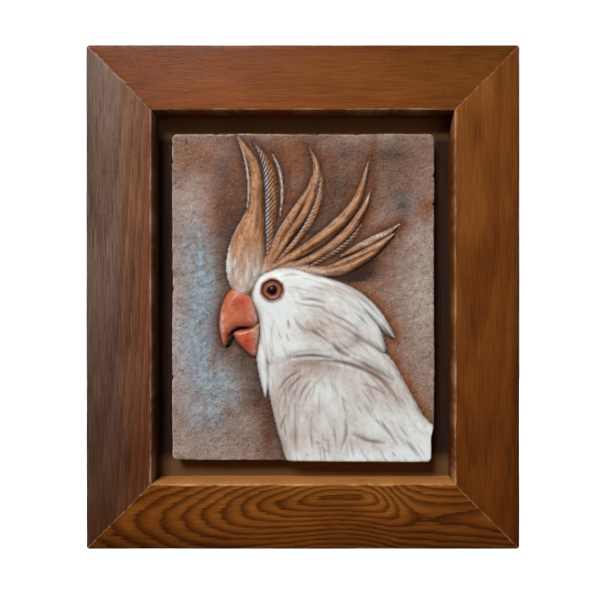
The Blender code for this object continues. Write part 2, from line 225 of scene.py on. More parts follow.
def rail_shape(length, open_side):
    """A rail along X, its outer edge up and its face to -Y. open_side is the mitre that gapes."""
    half = rail_width / 2
    tuck = board_tuck + REBATE_GAP - half
    ledge = tuck + LEDGE_STEP
    outline = [(half, 0), (half, front), (-half, front), (-half, seat), (tuck, seat), (tuck, board_high.y),
               (ledge, board_high.y), (ledge, 0)]
    shape = bmesh.new()
    end = shape.faces.new([shape.verts.new((-1, y, z)) for z, y in outline])
    across = [edge for edge in end.edges if all(abs(vert.co.y - front) < 1e-6 for vert in edge.verts)]
    bmesh.ops.subdivide_edges(shape, edges=across, cuts=CUTS_ACROSS)
    pulled = bmesh.ops.extrude_face_region(shape, geom=list(shape.faces))["geom"]
    far_end = [part for part in pulled if isinstance(part, bmesh.types.BMVert)]
    bmesh.ops.translate(shape, vec=(2, 0, 0), verts=far_end)
    bmesh.ops.recalc_face_normals(shape, faces=shape.faces)
    arrises = [edge for edge in shape.edges if edge.calc_length() > 1
               and all(vert.co.y < front + 1e-6 and abs(abs(vert.co.z) - half) < 1e-6 for vert in edge.verts)]
    bmesh.ops.bevel(shape, geom=arrises, offset=ARRIS, affect="EDGES", segments=4, profile=0.5, material=-1)
    side = next(face for face in shape.faces if all(vert.co.z > half - 1e-6 for vert in face.verts))
    bmesh.ops.bisect_plane(shape, geom=[side, *side.edges, *side.verts], dist=1e-6,
                           plane_co=(0, front + WEAR_REACH, 0), plane_no=(0, 1, 0))
    long_edges = [edge for edge in shape.edges if edge.calc_length() > 1]
    bmesh.ops.subdivide_edges(shape, edges=long_edges, cuts=CUTS_ALONG, use_grid_fill=True)
    wear_and_highlight = shape.verts.layers.float.new("wear_and_highlight")
    dust_and_light = shape.verts.layers.float.new("dust_and_light")
    for vert in shape.verts:
        share = math.copysign(1 - (1 - abs(vert.co.x)) ** 1.6, vert.co.x)
        on_face = vert.co.y < front + 2 * ARRIS
        from_arris = half - abs(vert.co.z)
        spot = Vector((share * length * 35, vert.co.z * 200, length * 10))
        rub = max(0, noise.noise(spot * 0.5) + 0.7 * noise.noise(spot * 2.7) + 0.35) if on_face else 0
        near = math.exp(-(max(from_arris, 0) / (1.3 * ARRIS)) ** 2) if on_face else 0
        vert.co.y += ARRIS_WEAR * rub * near
        vert.co.z -= math.copysign(0.4 * ARRIS_WEAR * rub * near, vert.co.z)
        vert.co.y += UNEVEN * (noise.noise(spot * 0.4) + 1) if on_face else 0
        full = length / 2 - (half - vert.co.z)
        gap = OPEN_MITRE * max(0, -vert.co.z / half) if share * open_side > 0 else 0
        vert.co.x = share * (full - (GLUE_LINE + gap) * math.sqrt(2))
        from_mitre = (full - abs(vert.co.x)) / math.sqrt(2)
        # Pale wear, stronger on the inner arrises: rubbed wood and, in part, a painted highlight on the
        # rounded arris
        vert[wear_and_highlight] = near * (0.35 + 0.65 * rub) * (1.3 if vert.co.z < 0 else 0.6)
        # The inner walls, drawn lighter where a rail's look asks: dust, and painted light from above on the
        # ledge
        vert[dust_and_light] = from_arris < 1e-4 and vert.co.z < 0 and vert.co.y < seat + 1e-4
        if on_face and from_mitre < 3 * OPEN_MITRE_EASE:
            ease = OPEN_MITRE_EASE if share * open_side > 0 else MITRE_EASE
            edge = math.exp(-(from_mitre / ease) ** 2)
            vert.co.y += MITRE_SINK * edge
            vert[wear_and_highlight] = max(vert[wear_and_highlight], edge * (0.6 + noise.noise(spot * 2.3)))
    return shape


# How dark the wood grows from one ring to the next, in flat sawn pine and in plainer pieces
BANDED = [(0.0, "#f4cfa4"), (0.28, "#ffdab0"), (0.50, "#e0b692"), (0.72, "#a98262"), (0.86, "#946b52"),
          (1.0, "#f4cfa4")]
PLAIN = [(0.0, "#fff2e6"), (0.5, "#ecd2bd"), (0.85, "#c09a84"), (1.0, "#fff2e6")]

# Each rail: its turn in quarters, which mitre gapes, and what its own piece of pine looks like. The pith's
# curves are shares of GRAIN_HALF and PITH_REACH, and ring is the growth rings' spacing. ends colour a rail
# along its length and sides across it, inner edge first. The uprights are drawn darker towards the bottom,
# and the left rail's grey streaks and greyer outer part are painted sheen.
RAILS = {
    "rail_top": (0, -1, {
        "pith_depth": [(0.0, 0.8), (1.0, 0.7), (0.5, 0.9)], "pith_side": [(0.0, 0.5), (1.0, 0.75)],
        "ring": 0.0034, "drift": 0.5, "bands": PLAIN, "band_share": 0.3, "pores": 0.45,
        "streaks": [(0.3, "#84491b"), (0.5, "#965821"), (0.7, "#a5652a")],
        "tones": [(0.3, "#e6dcd2"), (0.7, "#ffffff")], "bare": "#c39a72", "dust_and_light": 0.0,
        "ends": [(0.06, "#e8ca74"), (0.95, "#d0dad4"), (0.45, "#fff2cc")],
        "sides": [(0.0, "#fff4e8"), (1.0, "#e0d6cc"), (0.4, "#ffffff"), (0.8, "#f2ece4")]}),
    "rail_right": (1, 0, {
        "pith_depth": [(0.0, 0.7), (1.0, 0.9), (0.4, 0.75)], "pith_side": [(0.0, 0.3), (1.0, 0.45)],
        "ring": 0.0042, "drift": 0.8, "bands": PLAIN, "band_share": 0.4, "pores": 0.3,
        "streaks": [(0.3, "#864b1d"), (0.5, "#995c23"), (0.7, "#a6682a")],
        "tones": [(0.3, "#cfc4bc"), (0.7, "#ffffff")], "bare": "#c58f68", "dust_and_light": 0.0,
        "ends": [(0.1, "#ffffff"), (0.95, "#ccbeb4")],
        "sides": [(0.0, "#ffffff"), (1.0, "#b9b4ae"), (0.85, "#f2ece6")]}),
    "rail_bottom": (2, 0, {
        "pith_depth": [(0.0, 0.10), (1.0, 0.72), (0.25, 0.26), (0.40, 0.03), (0.55, 0.16), (0.68, 0.34),
                       (0.82, 0.52)],
        "pith_side": [(0.0, 0.50), (1.0, 0.58), (0.25, 0.50), (0.40, 0.27), (0.55, 0.36), (0.70, 0.5)],
        "ring": 0.0034, "drift": 1.9, "bands": BANDED, "band_share": 0.9, "pores": 0.35,
        "streaks": [(0.3, "#9c6c34"), (0.5, "#b68342"), (0.7, "#c9914a")],
        "tones": [(0.3, "#d2c6be"), (0.7, "#ffffff")], "bare": "#e0a768", "dust_and_light": 0.8,
        "ends": [(0.05, "#d8d0c8"), (0.9, "#d6c9c2"), (0.5, "#ece8e4")],
        "sides": [(0.0, "#ffffff"), (1.0, "#b0a69e"), (0.5, "#f0e6dc")]}),
    # Its grey streaks and greyer outer part are painted sheen
    "rail_left": (3, 0, {
        "pith_depth": [(0.0, 0.9), (1.0, 0.8), (0.5, 0.85)], "pith_side": [(0.0, 0.8), (1.0, 0.65)],
        "ring": 0.0026, "drift": 0.4, "bands": PLAIN, "band_share": 0.55, "pores": 0.5,
        "streaks": [(0.3, "#7c6454"), (0.5, "#958073"), (0.7, "#ab9a94")],
        "tones": [(0.3, "#d8d0cc"), (0.7, "#ffffff")], "bare": "#b9977e", "dust_and_light": 0.0,
        "ends": [(0.05, "#b49678"), (0.9, "#fffaf4"), (0.45, "#ece4e0")],
        "sides": [(0.0, "#ffc898"), (1.0, "#dcd6d4"), (0.35, "#f6d8c0"), (0.6, "#eae2e6")]}),
}

for name, (quarters, open_side, look) in RAILS.items():
    turn = quarters * math.pi / 2
    upright = quarters % 2
    length, span = (plaque_height, plaque_width) if upright else (plaque_width, plaque_height)
    reach = (span - rail_width) / 2
    centre = Vector((reach * math.sin(turn), 0, plaque_middle + reach * math.cos(turn)))
    shape = rail_shape(length, open_side)
    stand = Matrix.Translation(centre) @ Matrix.Rotation(turn, 4, "Y")
    bmesh.ops.transform(shape, matrix=stand, verts=shape.verts)
    half_size = Vector((plaque_width / 2, 0, plaque_height / 2))
    for vert in shape.verts:
        beyond = Vector((abs(vert.co.x) - half_size.x + CORNER_ROUND, 0,
                         abs(vert.co.z - plaque_middle) - half_size.z + CORNER_ROUND))
        if min(beyond.x, beyond.z) > 0:
            pull = 1 - max(beyond.x, beyond.z) / beyond.length
            vert.co.x -= math.copysign(beyond.x * pull, vert.co.x)
            vert.co.z -= math.copysign(beyond.z * pull, vert.co.z - plaque_middle)
    finish = stained_pine(name + "_stained_pine", turn, centre, look)
    rail = new_piece(name + "_pine", shape, finish, name)
    rail.data.shade_smooth()
    rail.data.set_sharp_from_angle(angle=math.radians(35))


# Back board
# A thin board of dark stained deal, dropped into the rebates from behind, that carries the slab. It shows
# as a dark channel round the slab, drawn lighter above and below it with dust and painted light.
LIGHTER_START = 0.112
LIGHTER_FULL = 0.120


def dark_deal():
    """Deal stained nearly black and left unvarnished: matte, with faint upright grain and dust.

    The streaks are 1.4 mm wide and 40 mm long, coarser than real fibres, so that they show. The front above
    and below the slab is drawn lighter, more above: dust, and painted light in channels the top rail and slab
    shade.
    """
    finish, tree = new_finish("dark_stained_deal")
    place = add_node(tree, "TexCoord", output=3)
    drawn = add_node(tree, "Mapping", {"Vector": place, "Scale": (700, 700, 25)})
    fibre = add_node(tree, "TexNoise", {"Vector": drawn, "Scale": 1, "Detail": 3})
    stain = [(0.3, "#26140b"), (0.6, "#351e12"), (0.8, "#402718")]
    colour = add_node(tree, "ValToRGB", {0: fibre}, stops=stain)
    split = add_node(tree, "SeparateXYZ", {0: place}).node
    # Lighter above and below the slab, fullest above: dust, and painted light where the top rail and the slab
    # shade the channels
    height = add_node(tree, "Math", {0: split.outputs[2], 1: -plaque_middle}, operation="ADD")
    above = add_node(tree, "MapRange", {0: height, 1: LIGHTER_START, 2: LIGHTER_FULL})
    below = add_node(tree, "MapRange", {0: height, 1: -LIGHTER_START, 2: -LIGHTER_FULL, 4: 0.4})
    dusty_and_lit = add_node(tree, "Math", {0: above, 1: below}, operation="ADD")
    fore = add_node(tree, "MapRange", {0: split.outputs[1], 1: board_high.y, 2: board_low.y})
    colour = coated(tree, colour, [(dusty_and_lit, fore, 0.0, 1.0, 1.0, "#94683f")])
    bump = add_node(tree, "Bump", {"Height": fibre, "Strength": 0.3, "Distance": 0.0002})
    shader = add_node(tree, "BsdfPrincipled", {
        "Base Color": colour, "Roughness": 0.8, "Normal": bump, "IOR": 1.5, "Specular IOR Level": 0.15})
    tree.links.new(shader, tree.nodes["Material Output"].inputs["Surface"])
    return finish


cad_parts["back_board"].data.materials.clear()
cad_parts["back_board"].data.materials.append(dark_deal())


# Clay slab with the bird
# One slab of grogged clay with the bird raised on it by hand, washed with iron and cobalt oxides and
# glazed: white on the bird, ochre on its crest, coral on its beak. It is glued to the board.
GRID_STEP = 0.00069  # spacing of the slab's grid; as fine as a piece's limit on triangles allows
SLAB_CORNER = 0.0035
SLAB_ARRIS = 0.0012
EDGE_WANDER = 0.0005
EDGE_TRIM = 0.0028  # cut off the right edge where the neck runs off it
TRIM_TOP = 0.0260
TRIM_RUN_OUT = 0.0090
RIM_REACH = 0.0009
SLAB_THICKNESS = 0.0165
RELIEF_HEIGHT = 0.0074

# The bird is drawn on a sheet whose height is the slab's: right of the slab's middle and up from its foot,
# in this many units. Heights above the ground are shares of RELIEF_HEIGHT.
DRAWN_HEIGHT = 230.0

# Feathers and the long tapering neck, from the root to the tip: lift, then points along the middle with
# the half width there
FEATHERS = {
    "front_back_edge": (0.30, [(-39.0, 178, 0.7), (-38.1, 191, 1.0), (-39.1, 204, 1.1), (-41.8, 216, 0.9),
                               (-46.3, 227.5, 0.3)]),
    "front": (0.72, [(-43, 120.5, 7.0), (-40.5, 134, 13.3), (-39.8, 146, 13.1), (-38.2, 158, 10.4),
                     (-34, 176, 5.5), (-33, 195, 4.0), (-35.5, 210, 3.2), (-46, 228.5, 0.2)]),
    "second": (0.56, [(-24.5, 141, 1.4), (-23, 167, 3.6), (-22.5, 190, 4.5), (-25.5, 208.5, 3.6),
                      (-35, 224, 0.2)]),
    "sliver": (0.18, [(-16.3, 172, 0.3), (-14.7, 188, 0.9), (-16.6, 204, 0.9), (-21.5, 215.5, 0.2)]),
    "third_left": (0.46, [(-28, 132, 2.4), (-23.5, 143, 3.0), (-16.5, 157, 3.5), (-7, 173, 3.0),
                          (3.5, 189.5, 1.8), (6.5, 200, 0.5)]),
    "third_right": (0.38, [(-22, 136, 1.4), (-13.5, 145, 1.8), (-1, 159.5, 2.5), (8.5, 176, 2.9),
                           (12.5, 193, 2.0), (11.5, 206, 0.5)]),
    "third": (0.58, [(-25, 134, 2.0), (-18.5, 144.5, 2.5), (-9.5, 158.5, 2.8), (1.5, 174.5, 3.1),
                     (8, 193, 3.1), (9.5, 207, 2.6), (4, 220.5, 0.2)]),
    "fifth_under": (0.30, [(4, 136, 1.4), (11.5, 140.5, 1.8), (26.5, 149.5, 2.3), (35, 157, 2.0),
                           (41, 166.5, 0.4)]),
    "fourth": (0.62, [(-24, 134.5, 2.0), (-13, 140.5, 2.8), (1.5, 148.5, 3.8), (21, 163, 4.3),
                      (37.5, 182.5, 3.2), (47, 213, 0.2)]),
    "fifth": (0.54, [(-16, 135, 1.6), (0, 139.5, 2.6), (14.5, 146.5, 3.0), (31, 160, 3.4), (42, 176, 2.3),
                     (48, 191, 0.2)]),
    "sixth_upper": (0.50, [(26.5, 143.5, 0.8), (41.5, 151.2, 2.8), (57.5, 159.0, 2.6), (68.5, 166.5, 0.2)]),
    "sixth_lower": (0.64, [(-10, 136, 1.8), (3, 134, 3.0), (17, 133, 3.8), (30.5, 136.8, 5.4),
                           (48, 147, 4.3), (64, 159.5, 0.5)]),
    "bib": (0.60, [(-29, 86.5, 2.0), (-28.3, 74, 4.6), (-27, 58.5, 3.5), (-26.5, 44.5, 0.3)]),
    "neck": (0.74, [(10, 78, 8), (34, 79, 12), (53.5, 67, 9.3), (67, 50.5, 6), (83, 31, 1.5)]),
}

# Rounded forms: lift at the shoulder, crown added towards the middle, roll of the edge, closed outline
FORMS = {
    "body": (0.70, 0.24, 7.0, [(-26, 68), (-10, 82), (30, 84), (50, 64), (71, 50), (89, 27), (120, 8),
                               (160, -60), (10, -60), (-9, -8), (-15.5, 12), (-22.5, 40.5)]),
    "head": (0.86, 0.12, 7.5, [(-36.5, 113), (-33.5, 126), (-25.5, 133), (-10, 136.5), (13, 130), (35, 121),
                               (46, 108), (44, 96), (40, 86), (33, 77), (21, 73), (-2, 72), (-22, 66),
                               (-30, 78), (-31.5, 100)]),
    "crest_root": (0.34, 0.04, 4.5, [(-28, 130), (-26, 138), (-14, 142), (2, 139), (18, 131), (5, 126),
                                     (-15, 128)]),
    # The mouth is a low patch painted near black: painted shade in the gap between the beaks
    "mouth": (0.30, 0.02, 2.0, [(-54.6, 79.8), (-52, 88), (-45, 95.5), (-33, 98), (-31, 90), (-36, 86),
                                (-45, 88), (-48.9, 86.2), (-51.5, 81.5)]),
    "upper_lobe": (0.86, 0.10, 4.5, [(8, 130), (24, 126.2), (37, 120.6), (46.5, 113.4), (54.6, 104.6),
                                     (60.5, 95.4), (64.5, 86), (58.5, 89), (50, 97.5), (40, 106.5),
                                     (28.5, 115.5)]),
    "lower_lobe": (0.78, 0.10, 4.0, [(18, 116), (34, 115), (46, 105), (53.8, 94), (57.2, 84), (58, 75.6),
                                     (51, 78), (35, 87.5), (18, 98)]),
    "beak_upper": (0.80, 0.10, 6.5, [(-49.5, 121), (-56, 112.5), (-59.3, 98), (-57.8, 86), (-54.8, 80.3),
                                     (-51.2, 88), (-45.5, 92.7), (-36, 93.4), (-31, 97.5), (-33.5, 112),
                                     (-41, 119)]),
    "beak_lower": (0.62, 0.08, 4.0, [(-49.2, 90.4), (-41, 93.4), (-31, 97), (-30.6, 84), (-33.8, 73.2),
                                     (-39.5, 76), (-46, 83)]),
}

# Tooled lines: depth, half width, and the points they run through
CREASES = {
    "cheek_edge": (0.22, 1.1, [(-9, 72.5), (6, 74), (22, 72)]),
    "cheek_hollow": (0.07, 4.0, [(-10, 68), (8, 69.5), (26, 66)]),
    "ear_wedge": (0.26, 1.4, [(20, 83.5), (24.5, 78), (33, 72.5)]),
    "mouth_line": (0.34, 0.8, [(-52, 86), (-50, 89.5), (-45.5, 92.6), (-36, 93.4), (-30, 98)]),
    "mantle_crease": (0.32, 1.25, [(10, 70.5), (28, 69), (46, 62.5), (60, 52), (69, 36)]),
    "mantle_line": (0.14, 1.3, [(33, 72.5), (50, 64), (65, 55.5)]),
    "upper_lobe_line": (0.12, 1.2, [(34, 119), (46, 109.5), (55, 99)]),
    "wing_line": (0.08, 1.0, [(29.5, 31), (30, 20), (26, 8)]),
    "wing_crescent": (0.15, 1.4, [(34, 20.5), (45, 15), (58, 13)]),
    "flank_line": (0.05, 0.8, [(48, 31), (59, 22), (66, 11)]),
    "rump_line": (0.05, 0.8, [(73, 15), (82, 3)]),
    "fourth_groove": (0.18, 1.0, [(25, 162.5), (9, 151), (-6, 143)]),
    "sixth_crease": (0.26, 1.1, [(52, 148.5), (32, 139.5), (12, 134)]),
    "ear_line": (0.10, 0.9, [(-2, 113.4), (7, 113), (16.5, 110.6)]),
    "ear_line_low": (0.06, 0.8, [(1, 109), (9, 108.5), (16, 106.5)]),
    "jaw_tick": (0.08, 0.7, [(-10.5, 99.5), (-10, 96), (-9.3, 92.5)]),
    "jaw_wedge": (0.12, 1.0, [(5.5, 93), (8.5, 90.5), (12, 87)]),
    "temple_line": (0.07, 0.8, [(20, 103), (30, 98), (39, 91)]),
    "temple_line_low": (0.08, 0.8, [(2, 92.5), (12, 88), (21, 81)]),
    "shoulder_one": (0.08, 1.0, [(-2, 63.5), (-11, 58), (-17.5, 49)]),
    "shoulder_two": (0.07, 0.9, [(2, 62), (-6, 55), (-11, 48)]),
    "shoulder_three": (0.06, 0.9, [(6, 58), (0, 50), (-3, 42)]),
    "breast_line": (0.08, 0.9, [(-11.5, 34), (-14.5, 27), (-16, 21.5)]),
    "back_line": (0.05, 0.7, [(40, 55), (50, 51.5), (58.5, 46)]),
}

EYE_PLACE = (-21.5, 120.0)
EYE_RADIUS = 7.4
LID_WIDTH = 1.5
LID_LIFT = 0.10
EYE_SINK = 0.20
PUPIL_RADIUS = 3.4
PUPIL_LIFT = 0.26

# Thin dark strokes that stand out on the white glaze
TICKS = [
    [(14, 16.2), (19, 14.6)], [(8.5, 15.2), (12, 12)], [(12.5, 10.5), (16, 8), (19.5, 6.8)], [(1, 6.5),
                                                                                              (4.5, 4)],
    [(61.5, 8), (64.5, 4)], [(-5.2, 38), (-5.6, 22), (-4.6, 6)], [(-12, 90), (-9.5, 84)], [(2, 99), (5, 95)],
    [(-11, 75.5), (-9, 72.8), (-9.8, 70)], [(44, 62), (52, 55), (58, 47)], [(50, 60.5), (58, 52.5),
                                                                            (62, 45)], [(38, 40), (41, 34)],
                                                                            [(27, 46), (30, 41)],
]

# Hair lines drawn with the point of a tool, fainter
HAIR_LINES = [
    [(3.4, 67), (-9.3, 57.2), (-16.3, 43.1), (-17.7, 29.1)], [(9, 64.2), (-2.3, 55.8), (-9.3, 40.3),
                                                              (-10.7, 26.3)],
    [(-3.7, 64.2), (-13.5, 54.4), (-19.1, 44.6)], [(18.8, 64.2), (4.8, 50.1), (-2.3, 31.9)],
    [(41.3, 65.6), (55.4, 57.2), (66.6, 43.1), (75.1, 29.1)], [(49.8, 57.2), (59.6, 47.3), (66.6, 37.5)],
    [(52.6, 26.3), (61, 19.2), (65.2, 13.6)], [(-3.7, 47.3), (-5.1, 29.1), (-3.7, 12.2)],
    [(22, 117), (38, 108), (50, 94)], [(14, 101), (30, 93), (44, 82)], [(26, 90), (40, 82), (54, 68)],
    [(34, 77), (50, 68), (64, 54)], [(-26, 84), (-25, 72), (-26, 60)], [(-20, 100), (-22, 88), (-20, 76)],
]

# Which way the brush and the tool went on the bird: a place and a direction there
STROKE_WAYS = [
    (-30, 122, 0.2, 1.0), (-15, 128, 1.0, 0.15), (10, 124, 1.0, -0.25), (35, 113, 0.8, -0.55),
    (52, 99, 0.5, -0.85), (0, 110, 1.0, -0.2), (18, 104, 0.9, -0.4), (40, 92, 0.75, -0.65),
    (-22, 106, 0.3, -0.95), (-28, 92, 0.1, -1.0), (-12, 95, 0.45, -0.9), (5, 92, 0.8, -0.6),
    (20, 82, 0.8, -0.6), (-25, 72, 0.0, -1.0), (-12, 76, 0.35, -0.95), (2, 78, 0.8, -0.5),
    (40, 72, 0.9, -0.5), (60, 58, 0.75, -0.7), (-17, 52, 0.1, -1.0), (-6, 58, -0.35, -0.95),
    (8, 62, -0.6, -0.8), (24, 60, 0.3, -0.95), (40, 56, 0.7, -0.7), (-14, 30, 0.05, -1.0),
    (4, 38, -0.15, -1.0), (22, 38, 0.2, -1.0), (42, 38, 0.5, -0.85), (62, 38, 0.65, -0.75),
    (0, 8, 0.1, -1.0), (28, 12, 0.1, -1.0), (52, 10, 0.5, -0.85), (78, 20, 0.65, -0.75), (85, 4, 0.5, -0.85),
]

# Thick pale glaze left on the outer side of a crest feather, partly a painted highlight where that side faces
# the light: how much, and how far over from the edge
PALE_SIDES = {
    "front": (0.7, 0.25), "second": (1.0, 0.95), "third": (0.60, 0.35), "third_left": (0.65, 0.45),
    "third_right": (0.5, 1.0), "fourth": (0.30, 0.30), "fifth": (0.45, 0.5), "fifth_under": (0.4, 1.0),
    "sixth_upper": (0.6, 0.6), "sixth_lower": (0.4, 0.35), "sliver": (0.8, 2.2),
    "front_back_edge": (0.7, 2.0),
}

# Feathers whose barbs are combed in with a tool, and how deeply. The real grooves are 2.2 mm apart, which is
# too fine to show, so they are drawn coarser.
BARB_PITCH = 3.2
BARBED = {"second": 1.0, "third_right": 0.6, "fifth_under": 1.4, "sixth_upper": 0.25, "fifth": 0.15}

# Oxides washed over the bare ground, and the white and coral glazes where they lie thick or thin and let
# the clay's colour through: middle, reach across and up, strength. Some umber patches are painted shade, some
# thick patches painted glints, and one thin patch partly painted shade.
BLUE_WASH = [(-76, 150, 12, 20, 0.7), (-69, 120, 12, 28, 1.1), (-74, 84, 16, 24, 0.9),
             (-62, 52, 19, 18, 0.9), (-70, 30, 14, 12, 0.5), (-56, 205, 6, 8, 0.5), (70, 180, 7, 8, 0.6),
             (29, 217, 9, 6, 0.45), (27, 196, 8, 9, 0.3)]
RUST_WASH = [(-76, 214, 18, 13, 0.9), (-50, 188, 12, 26, 0.9), (-12, 200, 14, 34, 0.9),
             (26, 190, 18, 34, 0.6), (50, 214, 2.5, 16, 1.2), (87, 178, 7, 9, 1.0), (54, 130, 12, 14, 0.4),
             (76, 206, 16, 16, 0.6), (-62, 176, 12, 22, 0.5), (4, 214, 30, 14, 0.5),
             (-25, 16, 4, 20, 0.9), (-31, 38, 5, 8, 0.7)]
# Two umber patches are painted shade: under the beak, and under the crest's lowest feather
UMBER_WASH_AND_SHADE = [(20, 176, 16, 28, 0.8), (-50, 172, 8, 24, 0.8), (-24, 26, 7, 32, 0.6), (62, 206, 24, 18, 0.5),
              (-42, 68, 9, 9, 0.8), (44, 138, 14, 8, 0.8), (-57, 204, 6, 9, 0.7), (70, 180, 8, 9, 0.9),
             (62, 216, 14, 7, 0.6), (30, 217, 9, 6, 0.7), (27, 196, 9, 10, 0.5),
             (-34, 46, 7, 13, 0.8)]
ASH_WASH = [(-80, 178, 13, 14, 0.8), (84, 116, 15, 46, 0.9), (-89, 96, 7, 44, 0.8), (-66, 12, 34, 12, 0.3),
            (78, 156, 10, 8, 0.5)]
# Among the thick patches are painted glints: on the crest's feather edges and tips and along the beak's left
# edge
THICK_GLAZE_AND_GLINTS = [(-5, 128, 22, 7, 1.2), (2, 112, 26, 14, 0.5), (-30, 108, 5, 18, 0.9), (-26, 66, 8, 22, 1.0),
               (-14, 102, 11, 14, 0.9), (52, 104, 9, 14, 1.0), (36, 100, 10, 8, 0.7), (-10, 82, 12, 9, 0.8),
               (22, 45, 14, 12, 0.6), (82, 14, 12, 16, 1.0), (40, 4, 60, 5, 0.7), (58, 30, 10, 10, 0.4),
               (-56.4, 96, 1.2, 8, 1.1), (-45, 119, 3, 2, 0.8), (52, 158.5, 12, 2, 0.9),
               (66, 165.5, 3, 2, 1.1), (22, 168.5, 8, 1.5, 0.4), (44, 203, 2, 9, 0.5), (45, 184, 2, 6, 0.5),
               (-53, 147, 1.6, 9, 1.0), (-52.6, 133, 2.2, 9, 1.3), (10.5, 196, 1.5, 8, 0.5),
               (46, 152, 10, 1.5, 0.6)]
# The patch under the cheek's edge is partly painted shade from the head above, partly clay showing through
THIN_GLAZE_AND_SHADE = [(22, 121, 18, 5, 0.9), (14, 106, 20, 8, 0.7), (10, 92, 16, 9, 0.8), (36, 84, 16, 9, 0.8),
              (-8, 58, 14, 14, 0.9), (-12, 20, 10, 22, 0.9), (12, 62, 20, 8, 0.7), (44, 46, 16, 12, 0.8),
              (16, 20, 16, 18, 0.5), (66, 50, 14, 14, 0.5), (46, 14, 12, 8, 0.5), (-37, 82, 6, 6, 1.3),
              (2, 66, 26, 5, 0.8), (-18, 44, 5, 14, 0.7), (-43, 111, 5, 4, 1.0)]

# Leaf-shaped strokes of white at the foot of the front feather, and painted shadow where the ground lies
# deepest in shade
PALE_STROKES = [
    [(-52.2, 146), (-53.2, 138), (-52, 127)], [(-45, 137), (-47.8, 126)], [(-38, 139.5), (-38.6, 131),
                                                                           (-40.2, 122)],
    [(-42.4, 130), (-44, 120.5)], [(-34.3, 137), (-33.6, 129)], [(-47, 143), (-49.5, 134)], [(-36, 128),
                                                                                             (-37, 120)],
]
DEEP_SHADE = [(33, 129.5, 12, 4.0, 2.4), (46, 135, 8, 6, 0.8), (-58, 170, 5, 26, 0.35),
              (14, 160, 10, 4, 0.4)]

# Chips knocked out of the slab's edges: place and reach
CHIPS = [(-92, 211, 1.4), (-92, 121, 1.8), (92, 201, 2.0), (92, 181, 1.3), (38, 230, 1.5), (-62, 230, 1.2),
         (-92, 58, 1.2), (10, 230, 1.0)]
CHIP_DEPTH = 0.0007

GLAZES = ["white", "ochre", "coral", "mouth", "pale", "barbs", "along", "across", "marks", "hollow", "eye",
          "halo_and_shadow",
          "blue", "rust", "umber_and_shade", "ash", "thick_glaze_and_glints", "thin_glaze_and_shade", "rim"]
EYE_REACH = 1.3

# The tool's strokes and the bristles' grooves on the white and on the crest: how many, and how deep
WHITE_STROKES, WHITE_STROKE_DEPTH, WHITE_BRISTLE_DEPTH = 120, 0.026, 0.012
CREST_STROKES, CREST_STROKE_DEPTH, CREST_BRISTLE_DEPTH = 40, 0.020, 0.010
STROKE_STEP = 1.7
BRISTLE_CELLS = 12
SEED = 7

slab_low, slab_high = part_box("relief_slab")
slab_width = slab_high.x - slab_low.x
slab_height = slab_high.z - slab_low.z
unit = slab_height / DRAWN_HEIGHT


def smooth_curve(points, closed=False, steps=6):
    """The points and the places between them on a Catmull-Rom curve."""
    dots = np.array(points, float)
    if closed:
        dots = np.vstack([dots[-1:], dots, dots[:2]])
    else:
        dots = np.vstack([2 * dots[:1] - dots[1:2], dots, 2 * dots[-1:] - dots[-2:-1]])
    share = np.linspace(0, 1, steps, endpoint=False)[:, None]
    runs = []
    for before, start, end, after in zip(dots, dots[1:], dots[2:], dots[3:]):
        pull = 2 * before - 5 * start + 4 * end - after
        turn = 3 * start - before - 3 * end + after
        runs.append(start + ((end - before) * share + pull * share**2 + turn * share**3) / 2)
    if not closed:
        runs.append(dots[-2:-1])
    return np.vstack(runs)


def segments_near(place, line):
    """For each stretch of a line: how far each place is from it, and how far along the nearest point is."""
    for start, end in zip(line, line[1:]):
        run = end[:2] - start[:2]
        along = np.clip((place - start[:2]) @ run / max(run @ run, 1e-9), 0, 1)
        yield start, end, along, np.linalg.norm(place - start[:2] - along[:, None] * run, axis=1)


def depth_inside(place, outline):
    """Distance to a closed outline, counted below nought outside it."""
    nearest = np.full(len(place), 1e9)
    inside = np.zeros(len(place), bool)
    for start, end, _, distance in segments_near(place, np.vstack([outline, outline[:1]])):
        nearest = np.minimum(nearest, distance)
        straddles = (start[1] > place[:, 1]) != (end[1] > place[:, 1])
        rise = end[1] - start[1] if end[1] != start[1] else 1e-9
        crossing = start[0] + (place[:, 1] - start[1]) * (end[0] - start[0]) / rise
        inside ^= straddles & (place[:, 0] < crossing)
    return np.where(inside, nearest, -nearest)


def rolled(depth, roll):
    """A rounded shoulder: nought at the edge, one where the roll ends."""
    share = np.clip(depth / roll, 0, 1)
    return (1 - (1 - share) ** 2) ** 0.65


def feather_at(place, points):
    """A feather's height as a share of its lift, how deep inside its edge a place is, which side of the shaft
    it is on (left of the way to the tip is above nought, the edge is one), how far it is along and off the
    shaft, and the shaft's way there."""
    line = smooth_curve(points)
    widest = line[:, 2].max()
    lift, side, run_on, off = np.zeros((4, len(place)))
    passed = 0.0
    inside = np.full(len(place), -1e9)
    way = np.zeros((len(place), 2))
    for start, end, along, distance in segments_near(place, line):
        half_width = start[2] + along * (end[2] - start[2])
        across = distance / np.maximum(half_width, 1e-6)
        rise = (1 - np.clip(across, 0, 1) ** 2.4) ** 0.85 * (half_width / widest) ** 0.4
        run = (end[:2] - start[:2]) / max(np.linalg.norm(end[:2] - start[:2]), 1e-9)
        offset = place - start[:2]
        hand = np.sign(run[0] * offset[:, 1] - run[1] * offset[:, 0])
        nearer = half_width - distance > inside
        inside = np.where(nearer, half_width - distance, inside)
        side = np.where(nearer, hand * across, side)
        stretch = np.linalg.norm(end[:2] - start[:2])
        run_on = np.where(nearer, passed + along * stretch, run_on)
        off = np.where(nearer, hand * distance, off)
        way[nearer] = run
        lift = np.maximum(lift, rise)
        passed += stretch
    return lift, inside, side, run_on, off, way


